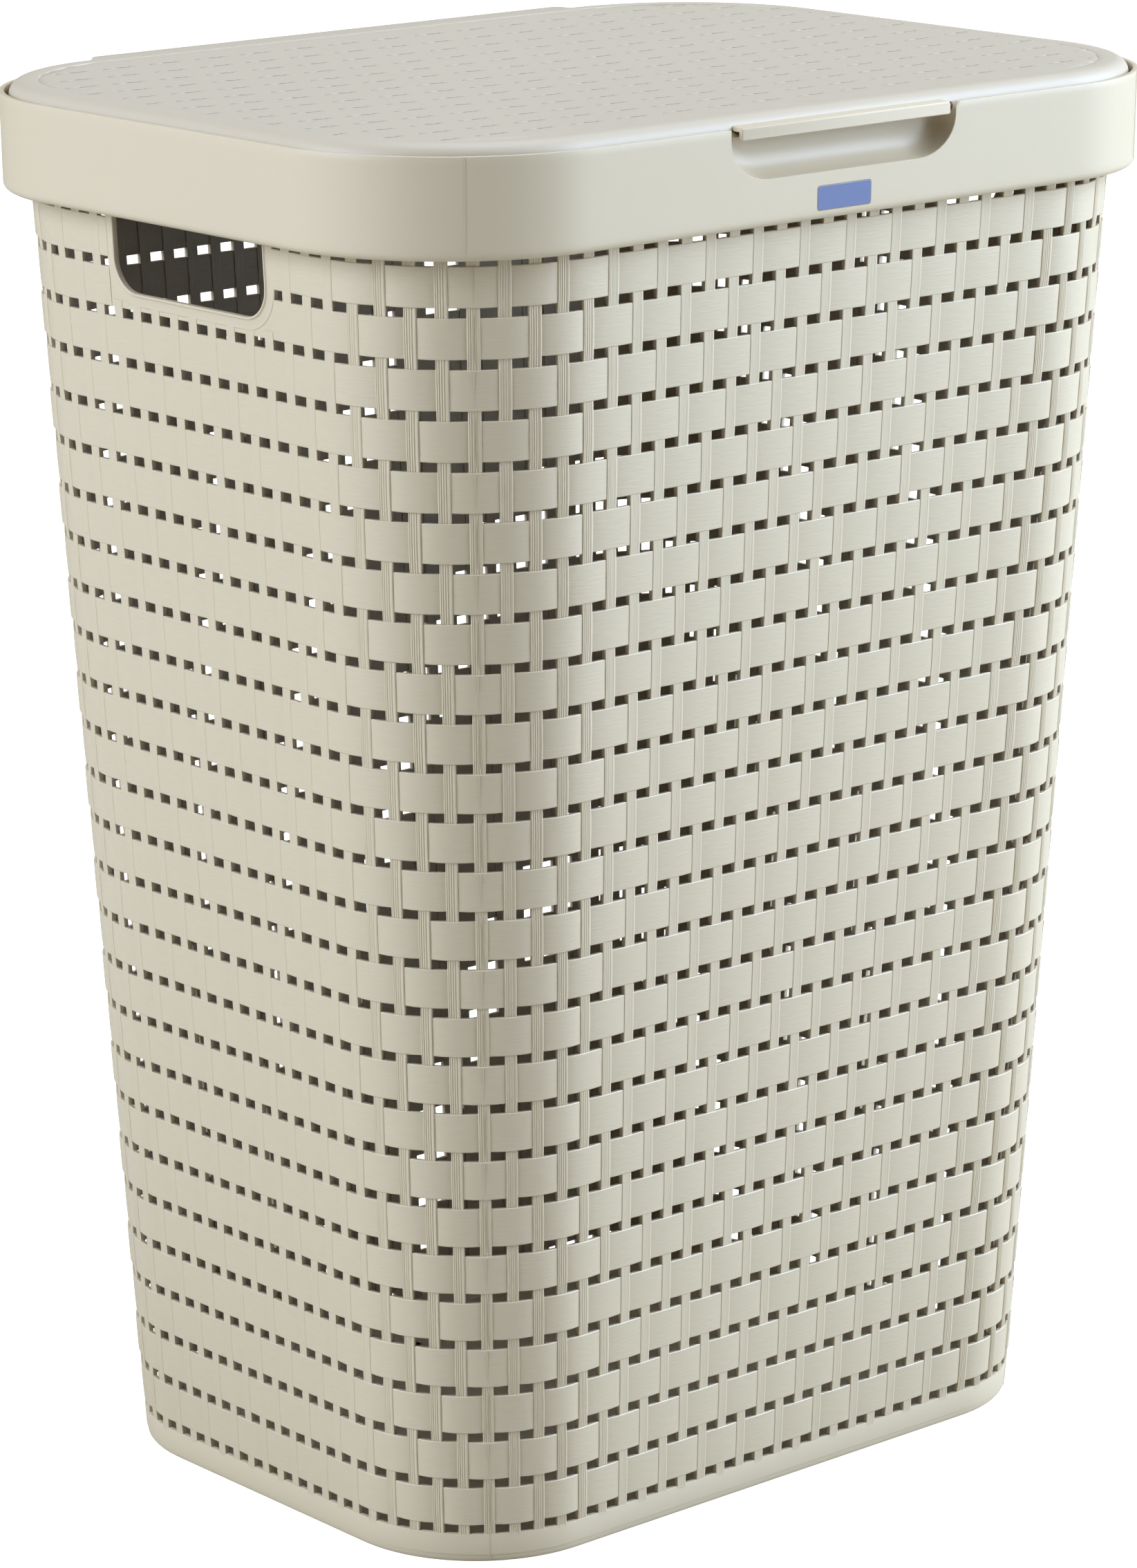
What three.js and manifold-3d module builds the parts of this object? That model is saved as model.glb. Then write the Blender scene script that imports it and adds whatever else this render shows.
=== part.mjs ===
// Laundry hamper with a hinged lid, in millimetres, +Z up, front towards -Y.
// The body is a tapered wall on a base pan, with a stepped-out collar that the lid sits inside.
import * as THREE from 'three';
import { mergeVertices } from 'three/addons/utils/BufferGeometryUtils.js';
import Module from 'manifold-3d';

const wasm = await Module();
wasm.setup();

// wall: half length, half depth and corner radius at the foot and under the collar
const footHalfX = 168, footHalfY = 121.3, footRadius = 60.4;
const neckHalfX = 197.6, neckHalfY = 148.8, neckRadius = 72.2;
const neckHeight = 525;
const wallThick = 1.8;
const cutGap = 0.3;            // between pieces that one moulding is divided into
const cornerSteps = 10;

// base pan
const bandHeight = 13, floorThick = 2.6, footChamfer = 1.2;

// collar, stepped out from the neck of the wall
const shoulderX = 12.4, shoulderY = 8.4, shoulderCorner = 7.8, collarHeight = 39;
const collarHalfX = neckHalfX + shoulderX, collarHalfY = neckHalfY + shoulderY;
const collarRadius = neckRadius + shoulderCorner, rimHeight = neckHeight + collarHeight;
const collarThick = 2.0, shoulderThick = 2.0, collarDraft = 0.8, shoulderRound = 3;

// hand grips
const gripHalfWidth = 47, gripDrop = 31.5, gripFloor = neckHeight - gripDrop, gripRadius = 13;
const gripBorder = 5.4, gripProud = 0.9;

// finger recess in the collar and the tab that hangs in it
const recessHalfWidth = 59.4, recessDrop = 20.6, recessRoundX = 20, recessRoundZ = 15.6;
const recessDepth = 9.5, pocketThick = 1.55, pocketRound = 7;
const tabSide = 4.4, tabHalfWidth = recessHalfWidth - tabSide;
const tabTop = rimHeight + 0.4, tabBottom = rimHeight - 4.4, tabProud = 1.3;

// label plate
const labelWidth = 28, labelHeight = 9.2, labelDrop = 30.6, labelCentre = rimHeight - labelDrop;
const labelThick = 0.5, labelSink = 0.2;

// lid
const lidClear = 1.8;          // between the lid's side and the collar's inner face
const lidHalfX = collarHalfX - collarThick - lidClear;
const lidHalfY = collarHalfY - collarThick - lidClear;
const lidRadius = collarRadius - collarThick - lidClear;
const lidRise = 4, lidTop = rimHeight + lidRise, lidThick = 1.9, lidSkirt = rimHeight - 8;
const lidRound = 6, lidBorder = 12, lidDish = 2.5;

// hinge
const hingeY = collarHalfY - 3.7, hingeZ = rimHeight - 6;
const hingeX = 70, hingeNotch = 37, notchFloor = hingeZ - 5;
const barRadius = 2.0, clipClear = 0.25, clipWall = 1.45, clipRadius = barRadius + clipClear + clipWall;
const cheekThick = 2.5, cheekClear = 0.4;
const lipShort = 3, lipHalfLength = collarHalfX - collarRadius - lipShort;
const lipBottom = rimHeight + 2.2, lipRear = collarHalfY + 0.6, lipRound = 1.2;
const skirtEnd = hingeY - 10;  // the skirt stops short of the hinge so it clears the rim

// cutters run past everything in plan and height
const reach = collarHalfX + 50, above = rimHeight + 50;

const solids = [];

function signedVolume(geometry) {
  const at = geometry.attributes.position, corners = geometry.index.array;
  const a = new THREE.Vector3(), b = new THREE.Vector3(), c = new THREE.Vector3();
  let sum = 0;
  for (let k = 0; k < corners.length; k += 3) {
    a.fromBufferAttribute(at, corners[k]);
    b.fromBufferAttribute(at, corners[k + 1]);
    c.fromBufferAttribute(at, corners[k + 2]);
    sum += a.dot(b.cross(c)) / 6;
  }
  return sum;
}

function toManifold(geometry) {
  const clean = geometry.clone();
  clean.deleteAttribute('normal');
  clean.deleteAttribute('uv');
  const merged = mergeVertices(clean, 1e-4);
  if (signedVolume(merged) < 0) merged.index.array.reverse();
  return new wasm.Manifold(new wasm.Mesh({
    numProp: 3,
    vertProperties: new Float32Array(merged.attributes.position.array),
    triVerts: new Uint32Array(merged.index.array),
  }));
}

function addPart(name, solid, colour) {
  const mesh = solid.getMesh();
  const geometry = new THREE.BufferGeometry();
  geometry.setAttribute('position', new THREE.BufferAttribute(new Float32Array(mesh.vertProperties), 3));
  geometry.setIndex(new THREE.BufferAttribute(new Uint32Array(mesh.triVerts), 1));
  const flat = geometry.toNonIndexed();
  flat.computeVertexNormals();
  const part = new THREE.Mesh(flat, new THREE.MeshStandardMaterial({ color: colour, roughness: 0.55 }));
  part.name = name;
  solids.push(part);
}

// rounded rectangle as a loop of points, counter-clockwise seen from above
function outline(halfX, halfY, radius, z) {
  const loop = [];
  for (const [sx, sy, turn] of [[1, 1, 0], [-1, 1, 1], [-1, -1, 2], [1, -1, 3]]) {
    for (let k = 0; k <= cornerSteps; k++) {
      const angle = (turn + k / cornerSteps) * Math.PI / 2;
      loop.push([sx * (halfX - radius) + radius * Math.cos(angle),
        sy * (halfY - radius) + radius * Math.sin(angle), z]);
    }
  }
  return loop;
}

// joins a list of equal loops; closed says whether the last loop meets the first, or both are capped
function loft(loops, closed) {
  const count = loops[0].length, positions = loops.flat().flat(), index = [];
  const bands = closed ? loops.length : loops.length - 1;
  for (let row = 0; row < bands; row++) {
    const here = row * count, next = ((row + 1) % loops.length) * count;
    for (let k = 0; k < count; k++) {
      const step = (k + 1) % count;
      index.push(here + k, here + step, next + step, here + k, next + step, next + k);
    }
  }
  if (!closed) {
    const last = (loops.length - 1) * count;
    for (let k = 1; k < count - 1; k++) {
      index.push(0, k + 1, k);
      index.push(last, last + k, last + k + 1);
    }
  }
  const geometry = new THREE.BufferGeometry();
  geometry.setAttribute('position', new THREE.Float32BufferAttribute(positions, 3));
  geometry.setIndex(index);
  return toManifold(geometry);
}

function box(x0, x1, y0, y1, z0, z1) {
  const geometry = new THREE.BoxGeometry(x1 - x0, y1 - y0, z1 - z0);
  geometry.translate((x0 + x1) / 2, (y0 + y1) / 2, (z0 + z1) / 2);
  return toManifold(geometry);
}

function wallSize(z) {
  const t = z / neckHeight;
  return [footHalfX + (neckHalfX - footHalfX) * t, footHalfY + (neckHalfY - footHalfY) * t,
    footRadius + (neckRadius - footRadius) * t];
}

function wallLoop(z, inset) {
  const [halfX, halfY, radius] = wallSize(z);
  return outline(halfX - inset, halfY - inset, radius - inset, z);
}

// shape in the XZ plane pushed along Y from y0 to y1
function extrudeFront(points, y0, y1) {
  const shape = new THREE.Shape(points.map(([x, z]) => new THREE.Vector2(x, z)));
  const geometry = new THREE.ExtrudeGeometry(shape, { depth: y1 - y0, bevelEnabled: false });
  geometry.rotateX(Math.PI / 2);
  geometry.translate(0, y1, 0);
  return toManifold(geometry);
}

// shape in the YZ plane pushed along X from x0 to x1
function extrudeSide(points, x0, x1) {
  const shape = new THREE.Shape(points.map(([y, z]) => new THREE.Vector2(y, z)));
  const geometry = new THREE.ExtrudeGeometry(shape, { depth: x1 - x0, bevelEnabled: false });
  geometry.rotateX(Math.PI / 2);
  geometry.rotateZ(Math.PI / 2);
  geometry.translate(x0, 0, 0);
  return toManifold(geometry);
}

// U outline: square at the top, rounded at its two lower corners
function cupOutline(halfWidth, floor, top, roundX, roundZ, steps = 10) {
  const points = [[halfWidth, top]];
  for (const [side, from] of [[1, 0], [-1, 1]]) {
    for (let k = 0; k <= steps; k++) {
      const angle = (from + k / steps) * Math.PI / 2;
      points.push([side * (halfWidth - roundX) + roundX * Math.cos(angle),
        floor + roundZ - roundZ * Math.sin(angle)]);
    }
  }
  points.push([-halfWidth, top]);
  return points.reverse();
}

// divides a ring into its four straight sides and four corners
function divideRing(solid, straightX, straightY) {
  const far = reach, half = cutGap / 2, z0 = -1, z1 = above;
  const pieces = {
    front: box(-straightX + half, straightX - half, -far, 0, z0, z1),
    back: box(-straightX + half, straightX - half, 0, far, z0, z1),
    left: box(-far, 0, -straightY + half, straightY - half, z0, z1),
    right: box(0, far, -straightY + half, straightY - half, z0, z1),
    corner_front_left: box(-far, -straightX - half, -far, -straightY - half, z0, z1),
    corner_front_right: box(straightX + half, far, -far, -straightY - half, z0, z1),
    corner_back_left: box(-far, -straightX - half, straightY + half, far, z0, z1),
    corner_back_right: box(straightX + half, far, straightY + half, far, z0, z1),
  };
  const result = {};
  for (const [name, cutter] of Object.entries(pieces)) result[name] = solid.intersect(cutter);
  return result;
}

const shell = '#dcd9cd', trim = '#d6d2c5', blue = '#8692c6';

// base pan: floor and the plain band below the weave
const panOuter = loft([outline(footHalfX - footChamfer, footHalfY - footChamfer, footRadius - footChamfer, 0),
  wallLoop(footChamfer, 0), wallLoop(bandHeight, 0)], false);
const panInner = loft([wallLoop(floorThick, wallThick), wallLoop(bandHeight + 1, wallThick)], false);
addPart('base_pan', panOuter.subtract(panInner), shell);

// woven wall, as plain sheets with the hand grips cut out
const wallFoot = bandHeight + cutGap, wallHead = neckHeight - cutGap;
const wallRing = loft([wallLoop(wallFoot, 0), wallLoop(wallHead, 0),
  wallLoop(wallHead, wallThick), wallLoop(wallFoot, wallThick)], true);
const wallStraightX = Math.min(footHalfX - footRadius, neckHalfX - neckRadius);
const wallStraightY = Math.min(footHalfY - footRadius, neckHalfY - neckRadius);
const wall = divideRing(wallRing, wallStraightX, wallStraightY);
const gripCut = cupOutline(gripHalfWidth + gripBorder + cutGap, gripFloor - gripBorder - cutGap,
  neckHeight + 5, gripRadius + gripBorder + cutGap, gripRadius + gripBorder + cutGap);
wall.left = wall.left.subtract(extrudeSide(gripCut, -reach, 0));
wall.right = wall.right.subtract(extrudeSide(gripCut, 0, reach));
for (const [name, solid] of Object.entries(wall)) addPart(`wall_${name}`, solid, shell);

// raised border round each hand grip
const borderRing = loft([wallLoop(gripFloor - 20, -gripProud), wallLoop(wallHead, -gripProud),
  wallLoop(wallHead, wallThick), wallLoop(gripFloor - 20, wallThick)], true);
const borderShape = extrudeSide(cupOutline(gripHalfWidth + gripBorder, gripFloor - gripBorder, wallHead,
  gripRadius + gripBorder, gripRadius + gripBorder), -reach, reach)
  .subtract(extrudeSide(cupOutline(gripHalfWidth, gripFloor, neckHeight + 5, gripRadius, gripRadius),
    -reach - 1, reach + 1));
const border = borderRing.intersect(borderShape);
addPart('grip_border_left', border.intersect(box(-reach, 0, -reach, reach, 0, above)), trim);
addPart('grip_border_right', border.intersect(box(0, reach, -reach, reach, 0, above)), trim);

// collar: shoulder and upright band
function collarLoop(z, inset) {
  const draft = collarDraft * (rimHeight - z) / (rimHeight - neckHeight);
  return outline(collarHalfX - inset - draft, collarHalfY - inset - draft, collarRadius - inset - draft, z);
}
const roundLoops = [];
for (let k = 0; k <= 4; k++) {
  const angle = k / 4 * Math.PI / 2;
  roundLoops.push(collarLoop(neckHeight + shoulderRound * (1 - Math.sin(angle)),
    shoulderRound * (1 - Math.cos(angle))));
}
const neckInner = wallSize(neckHeight).map((size) => size - wallThick);
const collarRing = loft([outline(...neckInner, neckHeight), ...roundLoops.reverse(),
  collarLoop(rimHeight - 0.6, 0), collarLoop(rimHeight, 0.6), collarLoop(rimHeight, collarThick),
  collarLoop(neckHeight + shoulderThick, collarThick),
  outline(...neckInner, neckHeight + shoulderThick)], true);
const collar = divideRing(collarRing, collarHalfX - collarRadius, collarHalfY - collarRadius);

// finger recess: the band is cut away and a pocket stands behind the cut
const recessFloor = rimHeight - recessDrop;
const recessOutline = (grow) => cupOutline(recessHalfWidth + grow, recessFloor - grow, rimHeight + 5,
  recessRoundX + grow, recessRoundZ + grow, 8);
const front = -collarHalfY;
collar.front = collar.front.subtract(extrudeFront(recessOutline(0), front - 5, front + 20));

function pocketLoop(y, inset) {
  const points = cupOutline(recessHalfWidth - inset, recessFloor + inset, rimHeight + 5,
    recessRoundX, recessRoundZ, 8);
  return points.map(([x, z]) => [x, y, z]);
}
const pocketFront = front + collarThick + collarDraft, pocketRear = pocketFront + recessDepth + pocketThick;
function pocketSolid(grow) {
  const loops = [];
  for (let k = 0; k <= 5; k++) {
    const angle = k / 5 * Math.PI / 2;
    loops.push(pocketLoop(pocketFront + (recessDepth + grow) * Math.sin(angle),
      pocketRound * (1 - Math.cos(angle)) - grow));
  }
  return loft(loops, false);
}
const pocket = pocketSolid(pocketThick).subtract(pocketSolid(0))
  .intersect(box(-reach, reach, -reach, 0, 0, tabBottom - cutGap));
addPart('finger_pocket', pocket, trim);

// label seat
const labelShape = (grow) => {
  const halfX = labelWidth / 2 + grow, halfZ = labelHeight / 2 + grow, radius = 1.3 + grow;
  const loop = outline(halfX, halfZ, radius, 0).filter((point, k) => k % 2 === 0);
  return loop.map(([x, z]) => [x, labelCentre + z]);
};
const labelFace = front + labelSink + collarDraft * (rimHeight - labelCentre) / (rimHeight - neckHeight);
collar.front = collar.front.subtract(extrudeFront(labelShape(cutGap), front - 5,
  labelFace + labelThick + cutGap));
addPart('label_plate', extrudeFront(labelShape(0), labelFace, labelFace + labelThick), blue);

// hinge bars in two notches of the rear band
for (const side of [-1, 1]) {
  const x = side * hingeX;
  collar.back = collar.back.subtract(
    box(x - hingeNotch / 2, x + hingeNotch / 2, hingeY - 10, reach, notchFloor, above));
}
for (const [name, solid] of Object.entries(collar)) addPart(`collar_${name}`, solid, shell);

function rod(x0, x1, radius) {
  const geometry = new THREE.CylinderGeometry(radius, radius, x1 - x0, 32);
  geometry.rotateZ(Math.PI / 2);
  geometry.translate((x0 + x1) / 2, hingeY, hingeZ);
  return toManifold(geometry);
}
for (const [name, side] of [['left', -1], ['right', 1]]) {
  const x = side * hingeX, edge = hingeNotch / 2 - cutGap, inner = edge - cheekThick;
  const floor = notchFloor + cutGap, rear = collarHalfY - 0.3;
  const cheeks = box(x - edge, x - inner, hingeY - 4, rear, floor, hingeZ + 4.6)
    .add(box(x + inner, x + edge, hingeY - 4, rear, floor, hingeZ + 4.6));
  addPart(`hinge_bar_${name}`, cheeks.add(rod(x - edge + 1, x + edge - 1, barRadius)), trim);

  const half = inner - cheekClear;
  const clip = rod(x - half, x + half, clipRadius)
    .add(box(x - half, x + half, hingeY - 2.5, hingeY + 3.4, hingeZ, lipBottom - cutGap))
    .subtract(rod(x - half - 1, x + half + 1, barRadius + clipClear))
    .subtract(box(x - half - 1, x + half + 1, hingeY - 1.6, hingeY + 1.6, hingeZ - 5, hingeZ));
  addPart(`hinge_clip_${name}`, clip, trim);
}

// lid: slightly dished plate with a flat border, a rounded edge and a short skirt, and the straight lip
// over the rear rim
function lidLoop(z, inset) {
  return outline(lidHalfX - inset, lidHalfY - inset, Math.max(lidRadius - inset, 12), z);
}
function lidSolid(offset, bottom) {
  const loops = [lidLoop(bottom, offset)];
  const radius = lidRound - offset;
  for (let k = 0; k <= 5; k++) {
    const angle = k / 5 * Math.PI / 2;
    loops.push(lidLoop(lidTop - offset - radius + radius * Math.sin(angle),
      offset + radius * (1 - Math.cos(angle))));
  }
  loops.push(lidLoop(lidTop - offset, lidBorder));
  for (const [across, sunk] of [[0.2, 0.35], [0.4, 0.75], [0.72, 1.0]]) {
    loops.push(lidLoop(lidTop - offset - lidDish * sunk, lidHalfY * across));
  }
  return loft(loops, false);
}
const lidShell = lidSolid(0, lidSkirt).subtract(lidSolid(lidThick, lidSkirt - 1))
  .subtract(box(-reach, reach, skirtEnd, reach, 0, lipBottom))
  .subtract(box(-recessHalfWidth - 4, recessHalfWidth + 4, -reach, pocketRear + 6, 0, tabBottom));
const lip = [];
for (let k = 0; k <= 6; k++) {
  const angle = k / 6 * Math.PI / 2;
  lip.push([lipRear - lipRound * (1 - Math.cos(angle)), lidTop - 0.2 - lipRound * (1 - Math.sin(angle))]);
}
const lipShape = [[skirtEnd - 3, lipBottom], [lipRear, lipBottom], ...lip, [skirtEnd - 3, lidTop - 0.2]];
addPart('lid_panel', lidShell.add(extrudeSide(lipShape, -lipHalfLength, lipHalfLength)), shell);

// finger tab: a flat bar that hangs in the recess
const tabRear = -lidHalfY - cutGap;
const tab = extrudeSide([[front - tabProud, tabBottom], [front + 1.2, tabBottom], [tabRear, tabBottom + 1.5],
  [tabRear, tabTop], [front - tabProud + 0.8, tabTop], [front - tabProud, tabTop - 0.8]],
-tabHalfWidth, tabHalfWidth);
addPart('lid_tab', tab, shell);

const hamper = new THREE.Group();
hamper.name = 'laundry_hamper';
for (const part of solids) hamper.add(part);
export default hamper;
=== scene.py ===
import math

import bmesh
import bpy
import numpy as np
from mathutils import Matrix, Vector


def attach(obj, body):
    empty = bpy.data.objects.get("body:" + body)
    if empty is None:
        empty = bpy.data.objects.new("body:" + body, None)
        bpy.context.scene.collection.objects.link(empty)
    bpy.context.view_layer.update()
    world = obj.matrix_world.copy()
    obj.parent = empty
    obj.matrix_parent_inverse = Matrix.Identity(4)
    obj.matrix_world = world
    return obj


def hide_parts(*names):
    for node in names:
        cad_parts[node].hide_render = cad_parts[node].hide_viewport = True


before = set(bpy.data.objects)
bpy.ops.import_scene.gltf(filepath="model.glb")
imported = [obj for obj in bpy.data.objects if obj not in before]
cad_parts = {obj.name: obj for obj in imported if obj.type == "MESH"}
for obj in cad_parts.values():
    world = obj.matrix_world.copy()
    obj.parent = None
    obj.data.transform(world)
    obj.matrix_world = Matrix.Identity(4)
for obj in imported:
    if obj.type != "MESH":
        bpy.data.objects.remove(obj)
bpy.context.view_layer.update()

mm = 0.001


def hexToLinear(code):  # sRGB hex to linear colour
    values = [int(code[k:k + 2], 16) / 255 for k in (0, 2, 4)]
    return [v / 12.92 if v <= 0.04045 else ((v + 0.055) / 1.055) ** 2.4 for v in values] + [1.0]


def addNode(tree, kind, settings=None, links=None):
    # settings: attribute or input name to value; links: input name to the output socket that feeds it
    node = tree.nodes.new(kind)
    for key, value in (settings or {}).items():
        if isinstance(key, str) and hasattr(node, key):
            setattr(node, key, value)
        else:
            node.inputs[key].default_value = value
    for key, socket in (links or {}).items():
        tree.links.new(socket, node.inputs[key])
    return node


def gridQuads(rows, columns, closeRows=False, closeColumns=False):
    # index of every quad on a rows by columns grid of points, wrapped round where asked
    r = np.arange(rows if closeRows else rows - 1)
    c = np.arange(columns if closeColumns else columns - 1)
    r, c = np.meshgrid(r, c, indexing="ij")
    r2, c2 = (r + 1) % rows, (c + 1) % columns
    corners = [r * columns + c, r * columns + c2, r2 * columns + c2, r2 * columns + c]
    return np.stack(corners, -1).reshape(-1, 4)


def sweepQuads(stations, loop):
    # closed section carried along stations, both ends capped by quads laid like rungs across the section
    side = gridQuads(stations, loop, closeColumns=True)
    k = np.arange(loop // 2 - 1)
    cap = np.stack([k, k + 1, loop - 2 - k, loop - 1 - k], -1)
    return np.concatenate([side, cap[:, ::-1], cap + (stations - 1) * loop])


def signedVolume(points, quads):
    # the sum over all quads of two tetrahedra reaching to the origin
    a, b, c, d = (points[quads[:, k]] for k in range(4))
    return (np.einsum("ij,ij->i", a, np.cross(b, c)) + np.einsum("ij,ij->i", a, np.cross(c, d))).sum() / 6


def sweepMany(points, uv):
    # points: element, station, loop, xyz. Every element is turned so that its faces look outwards
    count, stations, loop = points.shape[:3]
    quads = sweepQuads(stations, loop)
    flat = points.reshape(count, -1, 3)
    if signedVolume(flat[0] - flat[0].mean(0), quads) < 0:
        quads = quads[:, ::-1]
    shift = (np.arange(count) * stations * loop)[:, None, None]
    return flat.reshape(-1, 3), (quads[None] + shift).reshape(-1, 4), uv.reshape(-1, 2)


def sweepPlain(loops):
    # the same for elements whose material needs no layout along the grain: points and faces only
    points, quads, _ = sweepMany(loops, np.zeros((*loops.shape[:3], 2)))
    return points, quads


def plainPart(points, quads):
    points = points.reshape(-1, 3)
    return points, quads, np.zeros((len(points), 2))


def evenly(path, count):
    # count points at even distances along a path in a plane
    length = np.concatenate([[0], np.cumsum(np.linalg.norm(np.diff(path, axis=0), axis=1))])
    return np.array([np.interp(np.linspace(0, length[-1], count), length, path[:, k]) for k in (0, 1)]).T


def joinParts(parts):
    points, quads, uvs, start = [], [], [], 0
    for p, q, uv in parts:
        points.append(p)
        quads.append(q + start)
        uvs.append(uv)
        start += len(p)
    return np.concatenate(points), np.concatenate(quads), np.concatenate(uvs)


def makePiece(name, points, quads, uv=None, sharpAngle=32, merge=0.0):
    mesh = bpy.data.meshes.new(name)
    mesh.vertices.add(len(points))
    mesh.vertices.foreach_set("co", np.asarray(points, np.float32).ravel())
    mesh.loops.add(quads.size)
    mesh.loops.foreach_set("vertex_index", quads.astype(np.int32).ravel())
    mesh.polygons.add(len(quads))
    mesh.polygons.foreach_set("loop_start", np.arange(0, quads.size, 4, dtype=np.int32))
    mesh.update(calc_edges=True)
    if uv is not None:
        layer = mesh.uv_layers.new(name="alongGrain")
        layer.data.foreach_set("uv", uv[quads.ravel()].astype(np.float32).ravel())
    if merge:
        bm = bmesh.new()
        bm.from_mesh(mesh)
        bmesh.ops.remove_doubles(bm, verts=bm.verts, dist=merge)
        bmesh.ops.dissolve_degenerate(bm, edges=bm.edges, dist=merge)
        bmesh.ops.recalc_face_normals(bm, faces=bm.faces)
        bm.to_mesh(mesh)
        bm.free()
    mesh.validate()
    mesh.polygons.foreach_set("use_smooth", np.ones(len(mesh.polygons), bool))
    mesh.set_sharp_from_angle(angle=math.radians(sharpAngle))
    piece = bpy.data.objects.new(name, mesh)
    bpy.context.scene.collection.objects.link(piece)
    return piece


def markPaintedShade(piece, marks):
    # how much painted shade each point of the mesh takes, 0 to 1, read by the material
    paintedShade = piece.data.attributes.new("paintedShade", "FLOAT", "POINT")
    paintedShade.data.foreach_set("value", marks.astype(np.float32))


def placePiece(piece, body, material, slot, *nodes):
    piece.data.materials.clear()
    piece.data.materials.append(material)
    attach(piece, body)
    if nodes:
        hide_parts(*nodes)
    return piece


def newMaterial(name):
    material = bpy.data.materials.new(name)
    material.use_nodes = True
    tree = material.node_tree
    tree.nodes.clear()
    return material, tree


paintedShadeColour = "5C4A33"  # painted shade: a dark brown that stands in for the plastic deep in a narrow slot


def mouldedPolypropylene(name, look):
    # Polypropylene, injection moulded: an even greige with a satin sheen and a fine grain from the mould.
    material, tree = newMaterial(name)
    if look["alongGrain"]:
        place = addNode(tree, "ShaderNodeUVMap", {"uv_map": "alongGrain"}).outputs["UV"]
    else:
        place = addNode(tree, "ShaderNodeTexCoord").outputs["Object"]
    scaled = addNode(tree, "ShaderNodeMapping", {"Scale": look["grainPerMetre"]}, {"Vector": place})
    grain = addNode(tree, "ShaderNodeTexNoise",
                    {"Scale": 1.0, "Detail": 3.0, "Roughness": 0.6}, {"Vector": scaled.outputs["Vector"]})
    objectPlace = addNode(tree, "ShaderNodeTexCoord").outputs["Object"]
    cloud = addNode(tree, "ShaderNodeTexNoise", {"Scale": 9.0, "Detail": 2.0}, {"Vector": objectPlace})
    tone = addNode(tree, "ShaderNodeMix",
                   {"data_type": "RGBA", 6: hexToLinear(look["colour"]), 7: hexToLinear(look["colourDeep"])},
                   {"Factor": cloud.outputs["Fac"]})
    lines = addNode(tree, "ShaderNodeMapRange",
                    {"From Min": 0.35, "From Max": 0.7, "To Min": 0.0, "To Max": look["grainTone"]},
                    {"Value": grain.outputs["Fac"]})
    shaded = addNode(tree, "ShaderNodeMix", {"data_type": "RGBA", 7: hexToLinear(look["grainColour"])},
                     {"Factor": lines.outputs["Result"], 6: tone.outputs[2]})
    # narrow slots and the inner side are marked in the mesh, and take on the colour of deep shade
    paintedShade = addNode(tree, "ShaderNodeAttribute", {"attribute_name": look.get("paintedShadeAttribute", "paintedShade")})
    shaded = addNode(tree, "ShaderNodeMix", {"data_type": "RGBA", 7: hexToLinear(paintedShadeColour)},
                     {"Factor": paintedShade.outputs["Fac"], 6: shaded.outputs[2]})
    rough = addNode(tree, "ShaderNodeMapRange",
                    {"To Min": look["roughness"] - 0.05, "To Max": look["roughness"] + 0.07},
                    {"Value": grain.outputs["Fac"]})
    bump = addNode(tree, "ShaderNodeBump", {"Strength": look["bump"], "Distance": look["bumpDepth"]},
                   {"Height": grain.outputs["Fac"]})
    shader = addNode(tree, "ShaderNodeBsdfPrincipled", {"IOR": 1.49, "Specular IOR Level": look["specular"]},
                     {"Base Color": shaded.outputs[2], "Roughness": rough.outputs["Result"],
                      "Normal": bump.outputs["Normal"]})
    addNode(tree, "ShaderNodeOutputMaterial", links={"Surface": shader.outputs["BSDF"]})
    return material


strandPlastic = mouldedPolypropylene("moulded polypropylene, rattan grain", {
    "alongGrain": True,
    "grainPerMetre": (110.0, 1300.0, 1.0),  # streaks 9 mm long and about 0.8 mm apart, so that they show
    "colour": "CBBB9D", "colourDeep": "C8B899", "grainColour": "B09F80", "grainTone": 0.16,
    "roughness": 0.42, "bump": 0.5, "bumpDepth": 0.0002, "specular": 0.65})
fineMatt = {
    "alongGrain": False,
    "grainPerMetre": (1400.0, 1400.0, 1400.0),  # spark-eroded mould texture, 0.7 mm
    "colour": "CBBB9D", "colourDeep": "C9B99B", "grainColour": "BFAF90", "grainTone": 0.1,
    "roughness": 0.44, "bump": 0.1, "bumpDepth": 0.0001, "specular": 0.5}
smoothPlastic = mouldedPolypropylene("moulded polypropylene, fine matt", fineMatt)
# the lid takes a copy of the body's plastic in greyer, darker colours
lidPlastic = mouldedPolypropylene("moulded polypropylene, lid", fineMatt | {
    "colour": "C1B39B", "colourDeep": "BFB199", "grainColour": "B6A88E", "roughness": 0.46, "specular": 0.45})
# the lid's inner side takes none of the painted slot shade
innerPlastic = mouldedPolypropylene("moulded polypropylene, plain inner side", fineMatt | {
    "paintedShadeAttribute": "none", "roughness": 0.5, "specular": 0.4})


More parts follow.
